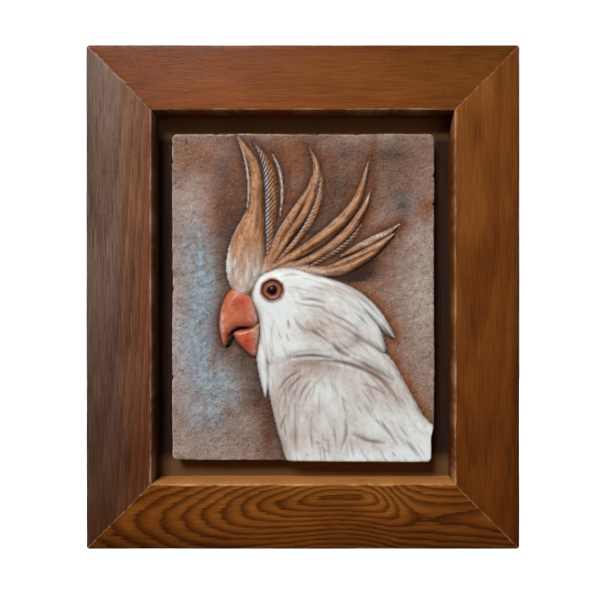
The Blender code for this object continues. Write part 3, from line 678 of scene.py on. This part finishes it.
def crease_share(place, points, half_width):
    """Depth of a tooled line as a share of its deepest: full at its middle, running out at both ends."""
    line = smooth_curve(points)
    share = np.zeros(len(place))
    for number, (_, _, along, distance) in enumerate(segments_near(place, line)):
        done = (number + along) / (len(line) - 1)
        share = np.maximum(share, np.exp(-((distance / half_width) ** 2)) * np.sin(math.pi * done) ** 0.6)
    return share


def ramp(value, low, high):
    """Nought below low, one above high, eased between."""
    share = np.clip((value - low) / (high - low), 0, 1)
    return share * share * (3 - 2 * share)


def clouds(place, spots):
    """Soft patches, each a middle, a reach across and up, and a strength."""
    return sum(strength * np.exp(-((place[:, 0] - x) / wide) ** 2 - ((place[:, 1] - y) / tall) ** 2)
               for x, y, wide, tall, strength in spots)


def hand_cut(place):
    """Moves places on the slab's rectangle so that its corners are round and its edges wander a little."""
    half = np.array([slab_width, slab_height]) / 2
    beyond = np.abs(place) - (half - SLAB_CORNER)
    square = np.maximum(beyond.max(axis=1), 0)
    both = np.maximum(beyond, 0)
    pull = square / np.maximum(np.linalg.norm(both, axis=1), 1e-9)
    in_corner = (beyond > 0).all(axis=1)
    rounded = np.sign(place) * (half - SLAB_CORNER + both * pull[:, None])
    place = np.where(in_corner[:, None], rounded, place)
    below = np.clip((TRIM_TOP - half[1] - place[:, 1]) / TRIM_RUN_OUT, 0, 1)
    place[:, 0] -= EDGE_TRIM * below * np.clip(place[:, 0] / half[0], 0, 1) ** 3
    turns = place[:, ::-1] / half[::-1] * math.pi
    wander = np.sin(1.7 * turns + 0.6) + 0.6 * np.sin(3.9 * turns + 2.1 + np.sign(place))
    return place - EDGE_WANDER * (1 + wander / 1.6) / 2 * place / half


def joined(height, rise, reach):
    """The greater of two heights, with the valley where they cross filled over this reach."""
    near = np.maximum(reach - np.abs(height - rise), 0)
    return np.maximum(height, rise) + near**2 / np.maximum(4 * reach, 1e-6)


def softened(field, radius):
    """A field on the grid blurred by a bell of this radius, in cells."""
    pad = int(3 * radius) + 1
    bell = np.exp(-(np.arange(-pad, pad + 1) / radius) ** 2)
    bell /= bell.sum()
    wide = np.pad(field, pad, mode="edge")
    wide = np.apply_along_axis(np.convolve, 0, wide, bell, "valid")
    return np.apply_along_axis(np.convolve, 1, wide, bell, "valid")


def followed(way):
    """A field on the grid that grows by one a unit along the ways given there, as nearly as one field can."""
    right = (way[:, 1:, 0] + way[:, :-1, 0]) / 2
    up = (way[1:, :, 1] + way[:-1, :, 1]) / 2
    pull = np.zeros(way.shape[:2])
    pull[:, :-1] -= right
    pull[:, 1:] += right
    pull[:-1] -= up
    pull[1:] += up
    mirrored = np.block([[pull, pull[:, ::-1]], [pull[::-1], pull[::-1, ::-1]]])
    waves = [2 - 2 * np.cos(2 * math.pi * np.fft.fftfreq(size)) for size in mirrored.shape]
    stiffness = waves[0][:, None] + waves[1]
    stiffness[0, 0] = 1
    field = np.fft.ifft2(np.fft.fft2(mirrored) / stiffness).real
    return field[:way.shape[0], :way.shape[1]] * GRID_STEP / unit


def drawn_out(way, reach, draw):
    """Noise drawn out along the strokes' ways, as bristles leave it, from nought to one."""
    grain = softened(draw.random(way.shape[:2]), 1.4)
    total = grain.copy()
    rows, columns = np.indices(grain.shape)
    for sign in (1, -1):
        row, column = rows.astype(float), columns.astype(float)
        for _ in range(reach):
            at = (np.clip(row.round(), 0, grain.shape[0] - 1).astype(int),
                  np.clip(column.round(), 0, grain.shape[1] - 1).astype(int))
            row += sign * way[at][..., 1]
            column += sign * way[at][..., 0]
            total += grain[np.clip(row.round(), 0, grain.shape[0] - 1).astype(int),
                           np.clip(column.round(), 0, grain.shape[1] - 1).astype(int)]
    total = (total - total.mean()) / total.std()
    return 1 / (1 + np.exp(-1.6 * total))


def stroke_marks(place, way, region, count, draw):
    """Single strokes of the tool: short lines that follow the strokes' ways, tapered at both ends."""
    marks = np.zeros(len(place))
    starts = np.flatnonzero(region)
    for start in draw.choice(starts, count, replace=False):
        at = place[start].copy()
        points = [at.copy()]
        for _ in range(draw.integers(4, 11)):
            nearest = np.argmin(np.abs(place - at).sum(axis=1))
            at += STROKE_STEP * way[nearest] / max(np.linalg.norm(way[nearest]), 1e-6)
            points.append(at.copy())
        points = np.array(points)
        width = draw.uniform(0.35, 0.75)
        beyond = np.maximum(points.min(axis=0) - place, place - points.max(axis=0)).max(axis=1)
        close = np.flatnonzero(beyond < 2.5)
        share = crease_share(place[close], points, width) * draw.uniform(0.4, 1.0)
        marks[close] = np.maximum(marks[close], share)
    return marks


def carved(place, grid):
    """The clay's height at places on the drawing, in shares of the relief's height, and the glazes on it."""
    draw = np.random.default_rng(SEED)
    count = len(place)
    height = np.zeros(count)
    inside = np.full(count, -1e9)
    barbs = np.zeros(count)
    white, ochre, coral, mouth, pale = (np.zeros(count) for _ in range(5))

    weights = np.array([1 / (((place - spot[:2]) ** 2).sum(axis=1) + 30) ** 1.5 for spot in STROKE_WAYS])
    way = (weights.T @ np.array([spot[2:] for spot in STROKE_WAYS])) / weights.sum(axis=0)[:, None]
    way /= np.linalg.norm(way, axis=1)[:, None]
    along = followed(way.reshape(*grid, 2)).ravel()
    across = followed(np.stack([-way[:, 1], way[:, 0]], axis=1).reshape(*grid, 2)).ravel()

    for name, (lift, crown, roll, points) in FORMS.items():
        depth = depth_inside(place, smooth_curve(points, closed=True))
        form = lift * rolled(depth, roll) + crown * (1 - np.exp(-np.maximum(depth, 0) / (2 * roll)))
        on_top = (form > height) & (depth > 0)
        for glaze, wanted in ((white, name in ("body", "head", "upper_lobe", "lower_lobe")),
                              (ochre, name == "crest_root"), (coral, name.startswith("beak")),
                              (mouth, name == "mouth")):
            glaze[on_top] = wanted
        merging = {"head": ramp(place[:, 0], -4, -14), "lower_lobe": ramp(place[:, 0], 50, 40)}.get(name, 0)
        merging = merging * ramp(depth, 0, 2.5)
        height = joined(height, form, 0.35 * merging)
        inside = np.maximum(inside, depth)
    for name, (lift, points) in FEATHERS.items():
        share, depth, side, run, off, shaft = feather_at(place, points)
        on_top = (lift * share > height) & (depth > 0)
        plumage = name in ("bib", "neck")
        white[on_top], ochre[on_top], coral[on_top], mouth[on_top] = plumage, not plumage, 0, 0
        if not plumage:
            way[on_top] = shaft[on_top]
            along[on_top] = run[on_top]
            across[on_top] = off[on_top]
            barbs[on_top] = (BARBED.get(name, 0.0) * (1 - 0.55 * ramp(-side, -0.1, 0.7)))[on_top]
            # Pale glaze on the feather's outer side, partly a painted highlight on the side facing the light
            amount, reach = PALE_SIDES.get(name, (0.2, 0.3))
            pale[on_top] = (amount * ramp(side, 1.05 - reach, 1.15 - 0.6 * reach))[on_top]
        merging = ramp(place[:, 0], 48, 38) * ramp(depth, 0, 4) * (name == "neck")
        height = joined(height, lift * share, 0.6 * merging)
        inside = np.maximum(inside, depth)

    from_eye = np.linalg.norm(place - EYE_PLACE, axis=1)
    lines = np.zeros(count)
    for depth, half_width, points in CREASES.values():
        share = crease_share(place, points, half_width)
        lines = np.maximum(lines, share)
        height -= np.minimum(depth * share, height)
    painted = np.maximum(white, np.maximum(ochre, coral))
    tall = height.reshape(grid)
    hollow = np.clip((softened(tall, 3.0) - tall) * 7, 0, 1).ravel()
    hollow = np.maximum(hollow, np.clip((softened(tall, 8.0) - tall) * 3.0, 0, 1).ravel() * painted)
    feathered = (white > 0.5) & (inside > 2.0) & (from_eye > EYE_RADIUS + 3)
    marks = stroke_marks(place, way, feathered, WHITE_STROKES, draw)
    on_crest = (ochre > 0.5) & (inside > 1.0)
    marks = np.maximum(marks, 0.7 * stroke_marks(place, way, on_crest, CREST_STROKES, draw))
    for points in TICKS:
        marks = np.maximum(marks, crease_share(place, [(*point, 0) for point in points], 0.55))
    for points in HAIR_LINES:
        marks = np.maximum(marks, 0.6 * crease_share(place, [(*point, 0) for point in points], 0.6))
    streaks = drawn_out(way.reshape(*grid, 2), BRISTLE_CELLS, draw).ravel()
    grooves = WHITE_STROKE_DEPTH * marks + WHITE_BRISTLE_DEPTH * (1 - streaks)
    height -= white * grooves * ramp(inside, 0, 3)
    grooves = CREST_STROKE_DEPTH * marks + CREST_BRISTLE_DEPTH * (1 - streaks)
    height -= ochre * grooves * ramp(inside, 0, 2)
    height += LID_LIFT * np.exp(-(((from_eye - EYE_RADIUS) / LID_WIDTH) ** 2))
    height -= EYE_SINK * rolled(EYE_RADIUS - from_eye, LID_WIDTH)
    height += PUPIL_LIFT * rolled(PUPIL_RADIUS - from_eye, PUPIL_RADIUS)

    gritty = 0.05 * softened(draw.normal(size=grid), 1.0) + 0.25 * softened(draw.normal(size=grid), 4.0)
    height += gritty.ravel() * (1 - 0.75 * painted)
    away = np.maximum(-inside, 0)
    fore = ramp(place[:, 0], 40, 0)
    crest = ramp(place[:, 1], 128, 140)
    halo_and_shadow = np.maximum(fore * np.exp(-away / 6), 0.85 * crest * np.exp(-away / 3.5))
    # Painted shadow: dark patches on the ground under the crest's lowest feather and in other deep places
    halo_and_shadow += clouds(place, DEEP_SHADE)
    rust = clouds(place, RUST_WASH) + 1.6 * np.exp(-away / 6) * (1 - 0.6 * fore)
    base = 0.40 * ramp(place[:, 1] + 10 * (streaks - 0.5), 158, 128)
    for points in PALE_STROKES:
        base = np.maximum(base, 0.95 * crease_share(place, [(*point, 0) for point in points], 1.5))
    base *= (place[:, 0] < -26) & (ochre > 0)
    glazes = {
        "white": np.maximum(white, base), "ochre": ochre, "coral": coral, "mouth": mouth, "pale": pale,
        "barbs": barbs, "along": along, "across": across, "marks": np.maximum(0.9 * lines, marks),
        "hollow": hollow, "eye": np.minimum(from_eye / EYE_RADIUS / EYE_REACH, 1),
        "halo_and_shadow": np.maximum(halo_and_shadow, 0.3 * np.exp(-away / 2)), "blue": clouds(place, BLUE_WASH),
        "rust": rust, "umber_and_shade": clouds(place, UMBER_WASH_AND_SHADE), "ash": clouds(place, ASH_WASH),
        "thick_glaze_and_glints": clouds(place, THICK_GLAZE_AND_GLINTS), "thin_glaze_and_shade": clouds(place, THIN_GLAZE_AND_SHADE),
    }
    for name in ("white", "ochre", "coral", "pale", "mouth", "barbs"):
        glazes[name] = softened(glazes[name].reshape(grid), 0.6).ravel()
    return height, glazes


def slab_shape():
    """The slab: a fine grid with the bird raised on it, closed by its cut edges and a flat back."""
    columns = math.ceil(slab_width / GRID_STEP)
    rows = math.ceil(slab_height / GRID_STEP)
    shape = bmesh.new()
    bmesh.ops.create_grid(shape, x_segments=columns, y_segments=rows, size=0.5)
    flat = np.array([vert.co[:2] for vert in shape.verts]) * (slab_width, slab_height)
    place = hand_cut(flat)
    drawn = (place + (0, slab_height / 2)) / unit
    height, glazes = carved(drawn, (rows + 1, columns + 1))
    from_edge = np.min(np.array([slab_width, slab_height]) / 2 - np.abs(flat), axis=1)
    chipped = sum(np.exp(-((drawn - chip[:2]) ** 2).sum(axis=1) / chip[2] ** 2) for chip in CHIPS)
    height = RELIEF_HEIGHT * height - SLAB_ARRIS * (1 - rolled(from_edge, SLAB_ARRIS)) - CHIP_DEPTH * chipped
    place -= CHIP_DEPTH * (chipped * (from_edge < SLAB_ARRIS))[:, None] * np.sign(place)
    # The pale rim: worn clay at the edges, stronger on the left half, where it is partly a painted highlight
    glazes["rim"] = np.exp(-(from_edge / RIM_REACH) ** 2) * (0.4 + 0.6 * ramp(drawn[:, 0], 0, -40))
    layers = [shape.verts.layers.float.new(name) for name in GLAZES]
    for vert, (x, z), rise, *amounts in zip(shape.verts, place, height, *(glazes[name] for name in GLAZES)):
        vert.co = (x, seat - SLAB_THICKNESS - rise, z + plaque_middle)
        for layer, amount in zip(layers, amounts):
            vert[layer] = amount
    rim = [edge for edge in shape.edges if edge.is_boundary]
    for depth in (0.25, 0.6, 1.0):
        pulled = bmesh.ops.extrude_edge_only(shape, edges=rim)["geom"]
        for vert in pulled:
            if isinstance(vert, bmesh.types.BMVert):
                vert.co.y = seat - SLAB_THICKNESS * (1 - depth) * 0.97
                vert[layers[GLAZES.index("rim")]] = 0
        rim = [edge for edge in pulled if isinstance(edge, bmesh.types.BMEdge) and edge.is_boundary]
    bmesh.ops.holes_fill(shape, edges=rim)
    bmesh.ops.recalc_face_normals(shape, faces=shape.faces)
    return shape


def glazed_clay():
    """Grogged stoneware: gritty and matte where it is only washed, glossy where the glaze lies thick."""
    finish, tree = new_finish("glazed_grogged_clay")
    place = add_node(tree, "TexCoord", output=3)
    amount = {name: add_node(tree, "Attribute", output=2, attribute_name=name) for name in GLAZES}
    unbroken = (1.0, 0.0, 1.0)

    # The clay changes in patches of 18 mm and a mottle of 4 mm, with grog of 2.4 mm. The washes ran down in
    # drips 3 mm wide and 22 mm long. Its grit is half a millimetre, drawn at 1 mm so that it shows.
    patch = add_node(tree, "TexNoise", {"Vector": place, "Scale": 55, "Detail": 5, "Roughness": 0.62})
    mottle = add_node(tree, "TexNoise", {"Vector": place, "Scale": 240, "Detail": 4, "Roughness": 0.65})
    grog = add_node(tree, "TexNoise", {"Vector": place, "Scale": 420, "Detail": 1})
    grit = add_node(tree, "TexNoise", {"Vector": place, "Scale": 950, "Detail": 2, "Roughness": 0.7})
    runs = add_node(tree, "Mapping", {"Vector": place, "Scale": (330, 330, 45)})
    runs = add_node(tree, "TexNoise", {"Vector": runs, "Scale": 1, "Detail": 3})
    drips = add_node(tree, "Math", {0: patch, 1: runs}, operation="ADD")

    # Bare ground: oxides rubbed and washed over it, specks, painted shade beside the bird, and a pale worn
    # rim, partly a painted highlight on the slab's left half
    sparse = add_node(tree, "MapRange", {0: patch, 1: 0.66, 2: 0.44})
    shade = add_node(tree, "MapRange", {0: mottle, 1: -0.1, 2: 0.60})
    shade = add_node(tree, "Math", {0: amount["halo_and_shadow"], 1: shade}, operation="MULTIPLY", use_clamp=True)
    cobalt = add_node(tree, "ValToRGB", {0: mottle}, stops=[(0.35, "#7f99ab"), (0.65, "#bac6cd")])
    ground = [(0.30, "#846754"), (0.5, "#9e8273"), (0.7, "#b79f92")]
    ground = coated(tree, add_node(tree, "ValToRGB", {0: patch}, stops=ground), [
        (1.0, mottle, 0.50, 0.28, 0.35, "#7a5a48"),
        (amount["ash"], mottle, 0.2, 0.6, 1.0, "#cbb8ae"),
        (amount["blue"], drips, 0.62, 1.10, 1.0, cobalt),
        (amount["rust"], drips, 0.50, 1.02, 1.0, "#925630"),
        (amount["umber_and_shade"], mottle, 0.0, 0.60, 1.0, "#55392b"),
        (1.0, grit, 0.50, 0.28, 0.5, "#4a352a"),
        (1.0, grit, 0.54, 0.74, 0.26, "#d8cec6"),
        (sparse, grog, 0.66, 0.74, 0.7, "#2c1d16"),
        (1.0, shade, 0.0, 1.0, 0.95, "#2f180b"),
        (amount["rim"], mottle, 0.36, 0.58, 1.0, "#d8cec2"),
    ])

    # Brush marks follow the feathers, 14 mm long and 3 mm wide. Bristle marks are too fine to show, so are
    # drawn coarser, 6 mm long and 0.6 mm wide.
    course = add_node(tree, "CombineXYZ", {0: amount["along"], 1: amount["across"]})
    brush = add_node(tree, "Mapping", {"Vector": course, "Scale": (0.07, 0.30, 1)})
    brush = add_node(tree, "TexNoise", {"Vector": brush, "Scale": 1, "Detail": 4, "Roughness": 0.6})
    bristle = add_node(tree, "Mapping", {"Vector": course, "Scale": (0.16, 1.7, 1)})
    bristle = add_node(tree, "TexNoise", {"Vector": bristle, "Scale": 1, "Detail": 3, "Roughness": 0.6})

    # White glaze, pinkish where it lies thin over the clay and clean where it lies thick; under the cheek's
    # edge the thin patch is partly painted shade
    cover = add_node(tree, "Math", {0: brush, 1: patch}, operation="ADD")
    cover = add_node(tree, "Math", {0: cover, 1: 0.5}, operation="MULTIPLY", use_clamp=True)
    cover = add_node(tree, "Math", {0: amount["thick_glaze_and_glints"], 1: 0.20, 2: cover},
                     operation="MULTIPLY_ADD", use_clamp=True)
    cover = add_node(tree, "Math", {0: cover, 1: 0.025}, operation="ADD")
    cover = add_node(tree, "Math", {0: amount["thin_glaze_and_shade"], 1: -0.17, 2: cover},
                     operation="MULTIPLY_ADD", use_clamp=True)
    scant = add_node(tree, "MapRange", {0: cover, 1: 0.62, 2: 0.36})
    white = add_node(tree, "ValToRGB", {0: cover}, stops=[
        (0.24, "#c8b3a8"), (0.68, "#f9fdf9"), (0.36, "#d8cbc2"), (0.46, "#e3dcd5"), (0.56, "#edebe6")])
    white = coated(tree, white, [(scant, bristle, 0.58, 0.70, 0.6, "#86705f")])

    # Ochre glaze on the crest, with lilac white left thick on some edges and partly a painted highlight on
    # the sides that face the light, painted glints, and the barbs' combed grooves
    comb = add_node(tree, "Math", {0: amount["along"], 1: amount["across"]}, operation="ADD")
    comb = add_node(tree, "Math", {0: comb, 1: 2 * math.pi / BARB_PITCH}, operation="MULTIPLY")
    comb = add_node(tree, "Math", {0: comb}, operation="SINE")
    comb = add_node(tree, "MapRange", {0: comb, 1: -0.6, 2: 0.5})
    comb = add_node(tree, "Math", {0: comb, 1: amount["barbs"]}, operation="MULTIPLY", use_clamp=True)
    groove = coated(tree, linear("#5c3a27"), [(amount["pale"], *unbroken, 1.0, "#34303a")])
    plume = [(0.30, "#9d5f38"), (0.5, "#c28655"), (0.7, "#d9aa85")]
    plume = coated(tree, add_node(tree, "ValToRGB", {0: brush}, stops=plume), [
        (1.0, bristle, 0.55, 0.7, 0.5, "#6f3f22"),
        (amount["pale"], bristle, 0.25, 0.42, 1.0, "#dfdbe4"),
        (1.0, grog, 0.58, 0.66, 0.5, "#5b3018"),
        (amount["thick_glaze_and_glints"], grit, 0.42, 0.56, 1.0, "#f3efec"),
        (1.0, comb, 0.0, 1.0, 0.9, groove),
    ])

    # Coral glaze on the beak, with a painted highlight along its left edge, and the eye: a black pupil in a
    # soft red brown iris
    coral = [(0.3, "#c45c3b"), (0.52, "#d57552"), (0.75, "#df8e6c")]
    coral = coated(tree, add_node(tree, "ValToRGB", {0: mottle}, stops=coral), [
        (amount["thin_glaze_and_shade"], *unbroken, 0.85, "#bd3c24"),
        (amount["thick_glaze_and_glints"], mottle, 0.3, 0.55, 1.0, "#f2d3c4"),
    ])
    eye = add_node(tree, "Math", {0: amount["eye"], 1: -0.17}, operation="ADD", use_clamp=True)
    eye = add_node(tree, "Math", {0: mottle, 1: 0.34, 2: eye}, operation="MULTIPLY_ADD", use_clamp=True)
    iris = add_node(tree, "ValToRGB", {0: eye}, stops=[
        (0.20, "#120504"), (0.93, "#d9c6bc"), (0.30, "#2e0f0a"), (0.38, "#6c3428"), (0.50, "#9c6050"),
        (0.62, "#8c4b3a"), (0.71, "#5f2a1c"), (0.81, "#a67a69")])
    in_eye = add_node(tree, "MapRange", {0: amount["eye"], 1: 0.99, 2: 0.92})

    stain = coated(tree, linear("#40220f"), [(amount["white"], *unbroken, 1.0, "#7b5d4e")])
    colour = coated(tree, ground, [
        (amount["ochre"], *unbroken, 1.0, plume),
        (amount["white"], *unbroken, 1.0, white),
        (amount["coral"], *unbroken, 1.0, coral),
        (amount["hollow"], *unbroken, 0.80, stain),
        (amount["marks"], *unbroken, 0.65, stain),
        # The mouth painted near black: painted shade
        (amount["mouth"], *unbroken, 1.0, "#1b0c07"),
        (in_eye, eye, 0.99, 0.88, 1.0, iris),
    ])

    # The glazes are smoother than the clay, and the beak and the eye glossiest
    glazed = add_node(tree, "Math", {0: amount["ochre"], 1: amount["coral"]}, operation="ADD")
    glazed = add_node(tree, "Math", {0: amount["white"], 1: glazed}, operation="ADD", use_clamp=True)
    shiny = add_node(tree, "MapRange", {0: eye, 1: 0.9, 2: 0.8, 4: 0.5})
    shiny = add_node(tree, "Math", {0: amount["coral"], 1: shiny}, operation="ADD", use_clamp=True)
    rough = add_node(tree, "MapRange", {0: glazed, 3: 0.70, 4: 0.40})
    rough = add_node(tree, "Math", {0: shiny, 1: -0.30, 2: rough}, operation="MULTIPLY_ADD")
    rough = add_node(tree, "Math", {0: grit, 1: 0.14, 2: rough}, operation="MULTIPLY_ADD", use_clamp=True)
    smooth = add_node(tree, "Math", {0: glazed, 1: shiny}, operation="MAXIMUM")
    tooth = add_node(tree, "MapRange", {0: smooth, 3: 1.0, 4: 0.15})
    relief = add_node(tree, "Math", {0: mottle, 1: 0.5, 2: grit}, operation="MULTIPLY_ADD")
    relief = add_node(tree, "Math", {0: relief, 1: tooth}, operation="MULTIPLY")
    combed = add_node(tree, "Math", {0: comb, 1: -1.2}, operation="MULTIPLY")
    brushed = add_node(tree, "Math", {0: glazed, 1: 0.4}, operation="MULTIPLY")
    combed = add_node(tree, "Math", {0: bristle, 1: brushed, 2: combed}, operation="MULTIPLY_ADD")
    relief = add_node(tree, "Math", {0: relief, 1: combed}, operation="ADD")
    bump = add_node(tree, "Bump", {"Height": relief, "Strength": 0.8, "Distance": 0.0005})
    shader = add_node(tree, "BsdfPrincipled", {
        "Base Color": colour, "Roughness": rough, "Normal": bump, "IOR": 1.5, "Specular IOR Level": 0.4})
    tree.links.new(shader, tree.nodes["Material Output"].inputs["Surface"])
    return finish


slab = new_piece("glazed_slab", slab_shape(), glazed_clay(), "relief_slab")
slab.data.shade_smooth()
slab.data.set_sharp_from_angle(angle=math.radians(75))


# Studio
# A plain pale floor below the plaque, a soft key light from the upper left as in the photograph, a weak fill
# from the right, and a lamp behind that only the views from behind see by.
FLOOR_DROP = 0.10
CAMERA_AWAY = 0.539
CAMERA_PLACE = (0.0111, 0.0018)
VIEW_SHIFT = (-19 / 600, -5.5 / 600)
FOCAL_PIXELS = 779.0
SENSOR = 36.0

shape = bmesh.new()
bmesh.ops.create_grid(shape, x_segments=8, y_segments=8, size=2.0)
floor_level = plaque_low.z - FLOOR_DROP
bmesh.ops.translate(shape, vec=(0, 0, floor_level), verts=shape.verts)
mesh = bpy.data.meshes.new("studio_floor")
shape.to_mesh(mesh)
shape.free()
floor = bpy.data.objects.new("studio_floor", mesh)
bpy.context.scene.collection.objects.link(floor)
paper, tree = new_finish("pale_paper")
shader = add_node(tree, "BsdfPrincipled", {
    "Base Color": linear("#f4f3f1"), "Roughness": 0.9,
    "Emission Color": linear("#ffffff"), "Emission Strength": 1.0})
tree.links.new(shader, tree.nodes["Material Output"].inputs["Surface"])
mesh.materials.append(paper)
floor.visible_diffuse = False
floor.visible_glossy = False

# Each lamp: its place from the middle of the plaque's face, its width and its watts
middle = Vector((0, front, plaque_middle))
LAMPS = {
    "key": ((-0.52, -1.82, 1.16), 0.60, 44.0),
    "fill": ((0.9, -1.8, 0.3), 1.6, 2.5),
    "back": ((1.1, 1.7, 0.9), 1.2, 16.0),
}
for name, (offset, size, watts) in LAMPS.items():
    lamp = bpy.data.lights.new(name, "AREA")
    lamp.size = size
    lamp.energy = watts
    light = bpy.data.objects.new(name, lamp)
    light.location = middle + Vector(offset)
    light.visible_camera = False
    light.rotation_euler = (middle - light.location).to_track_quat("-Z", "Y").to_euler()
    bpy.context.scene.collection.objects.link(light)

# A white world behind everything, which hardly lights the plaque
world = bpy.data.worlds.new("studio")
world.use_nodes = True
bpy.context.scene.world = world
tree = world.node_tree
tree.nodes.clear()
seen = add_node(tree, "LightPath")
dim = add_node(tree, "Background", {"Color": linear("#ffffff"), "Strength": 0.03})
bright = add_node(tree, "Background", {"Color": linear("#ffffff"), "Strength": 1.0})
both = add_node(tree, "MixShader", {0: seen, 1: dim, 2: bright})
add_node(tree, "OutputWorld", {"Surface": both})

camera = bpy.data.objects.new("camera", bpy.data.cameras.new("camera"))
bpy.context.scene.collection.objects.link(camera)
camera.location = (CAMERA_PLACE[0], front - CAMERA_AWAY, plaque_middle + CAMERA_PLACE[1])
camera.rotation_euler = (math.pi / 2, 0, 0)
camera.data.sensor_width = SENSOR
camera.data.lens = FOCAL_PIXELS / 600 * SENSOR
camera.data.shift_x, camera.data.shift_y = VIEW_SHIFT
bpy.context.scene.camera = camera
bpy.context.scene.view_settings.view_transform = "Standard"
